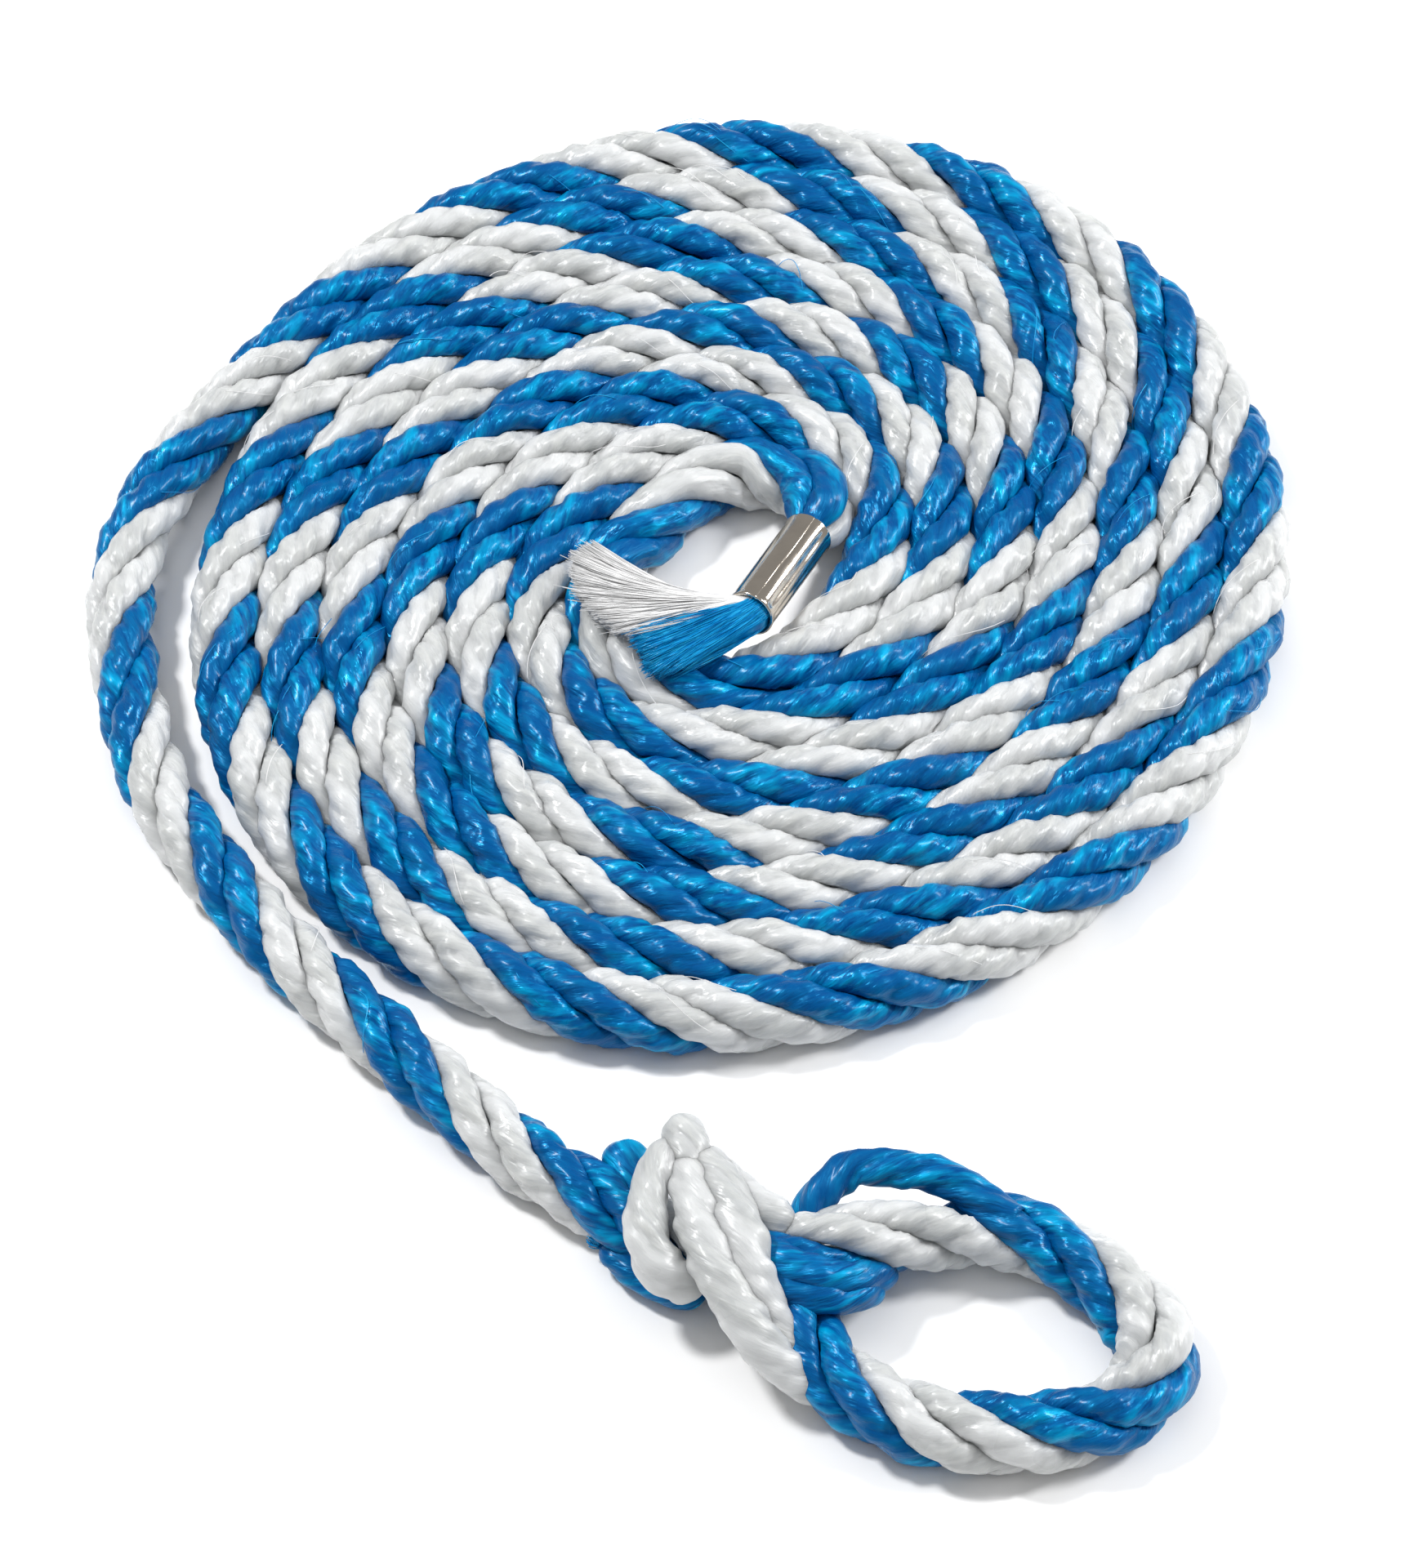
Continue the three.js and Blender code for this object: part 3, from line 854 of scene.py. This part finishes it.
def stray_fibres(name, quarters, count, seed):
    """Single fibres that have lifted off the crowns of the strands, here and there along the rope.
    quarters are the places of their strands round the rope."""
    rng = np.random.default_rng(seed)
    facing_up = 0.5
    lines = []
    while len(lines) < count:
        steps = int(rng.uniform(*STRAY_LENGTH) / LENGTH_STEP)
        first = int(rng.uniform(*STRAY_STRETCH) * len(rope_line))
        here = slice(first, first + steps)
        lay = rope_lay[here] + rng.choice(quarters) * np.pi / 2 + rng.normal(0, STRAY_OFF_CROWN)
        if math.cos(lay[steps // 2]) < facing_up:
            continue
        t = np.linspace(0, 1, steps)
        lift = rng.uniform(*STRAY_LIFT) * np.sin(np.pi * t * rng.uniform(0.55, 1.0)) ** 1.5
        lay = lay + rng.normal(0, STRAY_DRIFT) * np.sin(np.pi * t)
        out = ROPE_R * rope_girth[here] - STRAY_SINK + lift
        spoke = np.cos(lay)[:, None] * rope_up[here] + np.sin(lay)[:, None] * rope_side[here]
        line = rope_line[here] + out[:, None] * spoke
        places = np.linspace(0, steps - 1, STRAY_STEPS)
        lines.append(np.stack(
            [np.interp(places, np.arange(steps), column) for column in line.T], 1,
        ))
    return fibre_bundle(name, np.array(lines), STRAY_R, rng.uniform(-10, 10, count))


# ------------------------------------------------------------------ materials


def socket(shader, name, value):
    shader.inputs[name].default_value = value


class Nodes:
    """Adds and joins the nodes of one material."""

    def __init__(self, name):
        self.material = bpy.data.materials.new(name)
        self.material.use_nodes = True
        self.tree = self.material.node_tree
        self.shader = self.tree.nodes["Principled BSDF"]

    def add(self, kind, **settings):
        node = self.tree.nodes.new(kind)
        for key, value in settings.items():
            setattr(node, key, value)
        return node

    def join(self, value, target):
        if isinstance(value, (int, float)):
            target.default_value = value
        else:
            self.tree.links.new(value, target)

    def math(self, operation, *values):
        node = self.add("ShaderNodeMath", operation=operation)
        for value, target in zip(values, node.inputs):
            self.join(value, target)
        return node.outputs[0]

    def attribute(self, name):
        return self.add("ShaderNodeAttribute", attribute_name=name).outputs["Vector"]

    def scaled(self, vector, scale):
        node = self.add("ShaderNodeVectorMath", operation="MULTIPLY")
        self.join(vector, node.inputs[0])
        node.inputs[1].default_value = scale
        return node.outputs[0]

    def noise(self, vector, scale=1.0, detail=2.0, roughness=0.5):
        node = self.add("ShaderNodeTexNoise")
        self.join(vector, node.inputs["Vector"])
        node.inputs["Scale"].default_value = scale
        node.inputs["Detail"].default_value = detail
        node.inputs["Roughness"].default_value = roughness
        return node.outputs["Fac"]

    def spread(self, value, low, high, to_low=0.0, to_high=1.0):
        node = self.add("ShaderNodeMapRange", clamp=True)
        self.join(value, node.inputs["Value"])
        for key, number in zip(("From Min", "From Max", "To Min", "To Max"),
                               (low, high, to_low, to_high)):
            node.inputs[key].default_value = number
        return node.outputs["Result"]

    def mix(self, factor, first, second):
        node = self.add("ShaderNodeMix", data_type="RGBA")
        self.join(factor, node.inputs["Factor"])
        for value, target in ((first, node.inputs[6]), (second, node.inputs[7])):
            if isinstance(value, tuple):
                target.default_value = (*value, 1.0)
            else:
                self.join(value, target)
        return node.outputs[2]

    def bump(self, height, depth, strength, normal=None):
        node = self.add("ShaderNodeBump")
        node.inputs["Distance"].default_value = depth
        node.inputs["Strength"].default_value = strength
        self.join(height, node.inputs["Height"])
        if normal is not None:
            self.join(normal, node.inputs["Normal"])
        return node.outputs["Normal"]


STREAK_SCALE = (1.9, 1.9, 0.28)    # waves in a millimetre, across and along the fibres
BAND_SCALE = (0.8, 0.8, 0.25)
PATCH_SCALE = 0.22
CREASE_SHARPNESS = 6.0


def strand_material(name, main, deep, pale, flank_painted_shading, glint, metallic, glow, rough, sparkle):
    """Glossy multifilament polypropylene: fine straight fibres, a crease between the yarns, and
    painted shading in the creases and on the flanks, where the strand leans on its neighbours:
    painted shade on the blue, painted light on the white, as if light came through it from behind."""
    n = Nodes(name)
    fibre = n.attribute("fibre")
    yarn = n.add("ShaderNodeSeparateXYZ")
    n.join(n.attribute("yarn"), yarn.inputs[0])
    outward, sideways = yarn.outputs["X"], yarn.outputs["Y"]
    turn = n.math("ARCTAN2", sideways, outward)
    valley = n.math("ABSOLUTE", n.math("COSINE", n.math("MULTIPLY", turn, YARNS / 2)))
    uneven = n.spread(n.noise(fibre, scale=0.6, detail=1.0), 0.35, 0.60)
    crease = n.math("MULTIPLY", n.math("POWER", valley, CREASE_SHARPNESS), uneven)
    streak = n.noise(n.scaled(fibre, STREAK_SCALE), detail=3.0, roughness=0.62)
    band = n.noise(n.scaled(fibre, BAND_SCALE), detail=2.0)
    patch = n.noise(fibre, scale=PATCH_SCALE, detail=1.0)

    tone = n.mix(n.spread(streak, 0.36, 0.60), deep, main)
    tone = n.mix(n.spread(band, 0.45, 0.70, to_high=0.9), tone, pale)
    # painted shading in the creases between the yarns, in the flank colour: painted shade on the
    # blue, painted light on the white
    tone = n.mix(n.math("MULTIPLY", crease, 0.5), tone, flank_painted_shading)
    # painted shading on the strand's flanks, in the same colour, where the yarn label's outward
    # part is low
    tone = n.mix(n.spread(outward, 0.30, -0.40, to_high=0.8), tone, flank_painted_shading)
    n.join(tone, n.shader.inputs["Base Color"])
    n.join(n.spread(patch, 0.35, 0.65, 0.27, 0.46), n.shader.inputs["Roughness"])
    socket(n.shader, "Metallic", metallic)
    socket(n.shader, "Specular IOR Level", 0.42)
    socket(n.shader, "Specular Tint", (*glint, 1.0))
    socket(n.shader, "Anisotropic", 0.5)
    socket(n.shader, "Coat Weight", sparkle)
    socket(n.shader, "Coat Roughness", 0.19)
    socket(n.shader, "Subsurface Weight", glow)
    socket(n.shader, "Subsurface Radius", (1.0, 1.0, 1.0))
    socket(n.shader, "Subsurface Scale", 0.0040)
    n.join(n.attribute("weft"), n.shader.inputs["Tangent"])

    fine = n.bump(streak, 0.00024, rough)
    soft = n.bump(band, 0.00070, 0.6, fine)
    sunken = n.bump(n.math("MULTIPLY", crease, -1.0), 0.00012, 0.6, soft)
    n.join(sunken, n.shader.inputs["Normal"])
    return n.material


# the flank colour here is darker than main: painted shade in the creases and on the flanks
BLUE = strand_material(
    "blue_polypropylene",
    main=(0.0, 0.124, 0.352), deep=(0.0, 0.050, 0.215), pale=(0.0, 0.300, 0.57),
    flank_painted_shading=(0.0, 0.065, 0.240), glint=(0.10, 0.90, 1.0),
    metallic=0.14, glow=0.0, rough=0.9, sparkle=0.15,
)
LOOSE_BLUE = strand_material(
    "blue_loose_fibres",
    main=(0.0, 0.24, 0.57), deep=(0.0, 0.14, 0.43), pale=(0.02, 0.42, 0.74),
    flank_painted_shading=(0.0, 0.24, 0.57), glint=(0.20, 0.95, 1.0),
    metallic=0.05, glow=0.0, rough=0.5, sparkle=0.25,
)
# the flank colour here is lighter than main: painted light in the creases and on the flanks, as if
# light came through the fibres from behind
WHITE = strand_material(
    "white_polypropylene",
    main=(0.440, 0.452, 0.450), deep=(0.400, 0.412, 0.418), pale=(0.505, 0.515, 0.507),
    flank_painted_shading=(0.55, 0.56, 0.565), glint=(1.0, 1.0, 1.0),
    metallic=0.0, glow=1.0, rough=0.8, sparkle=0.17,
)
LOOSE_WHITE = strand_material(
    "white_loose_fibres",
    main=(0.71, 0.71, 0.71), deep=(0.66, 0.66, 0.665), pale=(0.76, 0.76, 0.76),
    flank_painted_shading=(0.71, 0.71, 0.71), glint=(1.0, 1.0, 1.0),
    metallic=0.0, glow=0.0, rough=0.3, sparkle=0.0,
)


def nickel_material():
    """Bright nickel plate with smudges and a fine grain."""
    n = Nodes("nickel_plate")
    place = n.add("ShaderNodeTexCoord").outputs["Object"]
    smudge = n.noise(place, scale=260, detail=3.0)
    grain = n.noise(place, scale=1400, detail=2.0)
    tone = n.mix(n.spread(smudge, 0.35, 0.70), (0.80, 0.72, 0.62), (0.68, 0.61, 0.53))
    n.join(tone, n.shader.inputs["Base Color"])
    n.join(n.spread(smudge, 0.35, 0.70, 0.10, 0.22), n.shader.inputs["Roughness"])
    socket(n.shader, "Metallic", 1.0)
    n.join(n.bump(grain, 0.00002, 0.4), n.shader.inputs["Normal"])
    return n.material


NICKEL = nickel_material()


def paper_material():
    n = Nodes("floor_paper")
    socket(n.shader, "Base Color", (0.93, 0.93, 0.93, 1.0))
    socket(n.shader, "Roughness", 0.9)
    return n.material


def finish_piece(piece, material, slot, *replaced):
    piece.data.materials.append(material)
    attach(piece, "root")
    if replaced:
        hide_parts(*replaced)
    return piece


# ------------------------------------------------------------------ camera
SENSOR_WIDTH, LENS = 36, 130.2                   # millimetres
CAMERA_AT = (-0.001046, -0.44741, 0.57046)       # from the spiral's own centre
CAMERA_AIM = (-0.001046, -0.03411, 0.0)


def point_at(thing, target):
    thing.rotation_euler = (Vector(target) - thing.location).to_track_quat("-Z", "Y").to_euler()


def make_camera():
    """Above and in front of the coil, looking along +Y and down at 54 degrees."""
    data = bpy.data.cameras.new("camera")
    data.sensor_fit = "HORIZONTAL"
    data.sensor_width = SENSOR_WIDTH
    data.lens = LENS
    data.clip_start = 0.01
    camera = in_scene("camera", data)
    camera.location = Vector(CAMERA_AT) + Vector(ORIGIN)
    point_at(camera, Vector(CAMERA_AIM) + Vector(ORIGIN))
    bpy.context.scene.camera = camera


make_camera()

# ------------------------------------------------------------------ pieces
ROPE_NODES = ("coil", "innermost_turn", "end_bend", "lead", "splice_throat", "eye_loop",
              "crimped_strands")
STRANDS = [
    ("strand_blue_1", -0.5, BLUE, "blue_strand"),
    ("strand_blue_2", 0.5, BLUE, "blue_strand"),
    ("strand_white_1", 1.5, WHITE, "white_strand"),
    ("strand_white_2", 2.5, WHITE, "white_strand"),
]
SPRUNG_STRAND = "strand_blue_1"
strands = [
    finish_piece(rope_strand(name, quarter, 100 * (i + 1), name == SPRUNG_STRAND),
                 material, slot, *ROPE_NODES)
    for i, (name, quarter, material, slot) in enumerate(STRANDS)
]

finish_piece(free_strand("splice_white_nub", WHITE_NUB_ROUTE, 0.95, 495),
             WHITE, "white_strand", "white_wrap")
finish_piece(free_strand("splice_white_wrap", WHITE_WRAP_ROUTE, 0.88, 500),
             WHITE, "white_strand", "white_wrap")
for i, route in enumerate(WHITE_LAY_ROUTES):
    finish_piece(free_strand(f"splice_white_lay_{i + 1}", route, 0.9, 510 + 10 * i),
                 WHITE, "white_strand", "white_lay_1", "white_lay_2")
for i, route in enumerate(BLUE_WRAP_ROUTES):
    finish_piece(free_strand(f"splice_blue_wrap_{i + 1}", route, 0.9, 550 + 10 * i),
                 BLUE, "blue_strand", "blue_wrap")
finish_piece(free_strand("splice_blue_cut_end", BLUE_CUT_ROUTE, CUT_END_FLAT, 580),
             BLUE, "blue_strand", "blue_cut_end")
finish_piece(cut_fibres("splice_blue_cut_fibres", BLUE_CUT_ROUTE, CUT_FIBRES, 585),
             LOOSE_BLUE, "blue_strand", "blue_cut_end")
finish_piece(free_strand("splice_blue_nub", BLUE_NUB_ROUTE, 0.95, 590),
             BLUE, "blue_strand", "blue_nub")

finish_piece(ferrule_piece(), NICKEL, "ferrule_metal", "ferrule")
TUFTS = [("white", WHITE_TUFT, LOOSE_WHITE, 610), ("blue", BLUE_TUFT, LOOSE_BLUE, 620)]
for colour, tuft, material, seed in TUFTS:
    finish_piece(tuft_body(f"tuft_{colour}_body", tuft, seed),
                 material, f"{colour}_strand", f"{colour}_tuft")
    finish_piece(fibre_tuft(f"tuft_{colour}_fibres", tuft, seed + 1),
                 material, f"{colour}_strand", f"{colour}_tuft")

finish_piece(stray_fibres("stray_blue_fibres", (-0.5, 0.5), 40, 630), LOOSE_BLUE, "blue_strand")
finish_piece(stray_fibres("stray_white_fibres", (1.5, 2.5), 60, 640), LOOSE_WHITE, "white_strand")

# ------------------------------------------------------------------ floor and lights
FLOOR_R = 0.42                 # small enough to be evenly lit out to its edge
FLOOR_SIDES = 96
FLOOR_DROP = 0.0002            # just under the rope
WORLD_LIGHT, BACKDROP = 0.29, 1.0
LIGHTS = [                     # place, size, watts, and whether the gloss mirrors it
    ("key", (-0.55, 0.25, 0.95), 0.18, 10.0, True),
    ("fill", (0.75, 0.10, 0.80), 0.26, 7.0, True),
    ("low_side", (0.93, 0.45, 0.38), 0.26, 3.5, True),
    ("ceiling", (0.0, -0.10, 1.30), 1.60, 5.0, False),
]


def make_floor():
    mesh = bpy.data.meshes.new("floor")
    angles = [2 * math.pi * i / FLOOR_SIDES for i in range(FLOOR_SIDES)]
    rim = [(FLOOR_R * math.cos(angle), FLOOR_R * math.sin(angle), 0) for angle in angles]
    mesh.from_pydata(rim, [], [tuple(range(FLOOR_SIDES))])
    mesh.materials.append(paper_material())
    floor = in_scene("floor", mesh)
    floor.location.z = -FLOOR_DROP


def make_light(name, place, size, watts, mirrored):
    """A round soft box aimed at the middle of the part."""
    data = bpy.data.lights.new(name, "AREA")
    data.shape = "DISK"
    data.size = size
    data.energy = watts
    light = in_scene(name, data)
    light.location = place
    light.visible_glossy = mirrored
    point_at(light, (0, 0, 0))


def make_world():
    """An even white studio: soft light on the object, and a white backdrop behind it."""
    world = bpy.data.worlds.new("studio")
    world.use_nodes = True
    tree = world.node_tree
    strength = tree.nodes.new("ShaderNodeMapRange")
    strength.inputs["To Min"].default_value = WORLD_LIGHT
    strength.inputs["To Max"].default_value = BACKDROP
    seen_by_camera = tree.nodes.new("ShaderNodeLightPath").outputs["Is Camera Ray"]
    background = tree.nodes["Background"]
    background.inputs["Color"].default_value = (1.0, 1.0, 1.0, 1.0)
    tree.links.new(seen_by_camera, strength.inputs["Value"])
    tree.links.new(strength.outputs["Result"], background.inputs["Strength"])
    bpy.context.scene.world = world


make_floor()
for light in LIGHTS:
    make_light(*light)
make_world()
bpy.context.scene.view_settings.view_transform = "Standard"
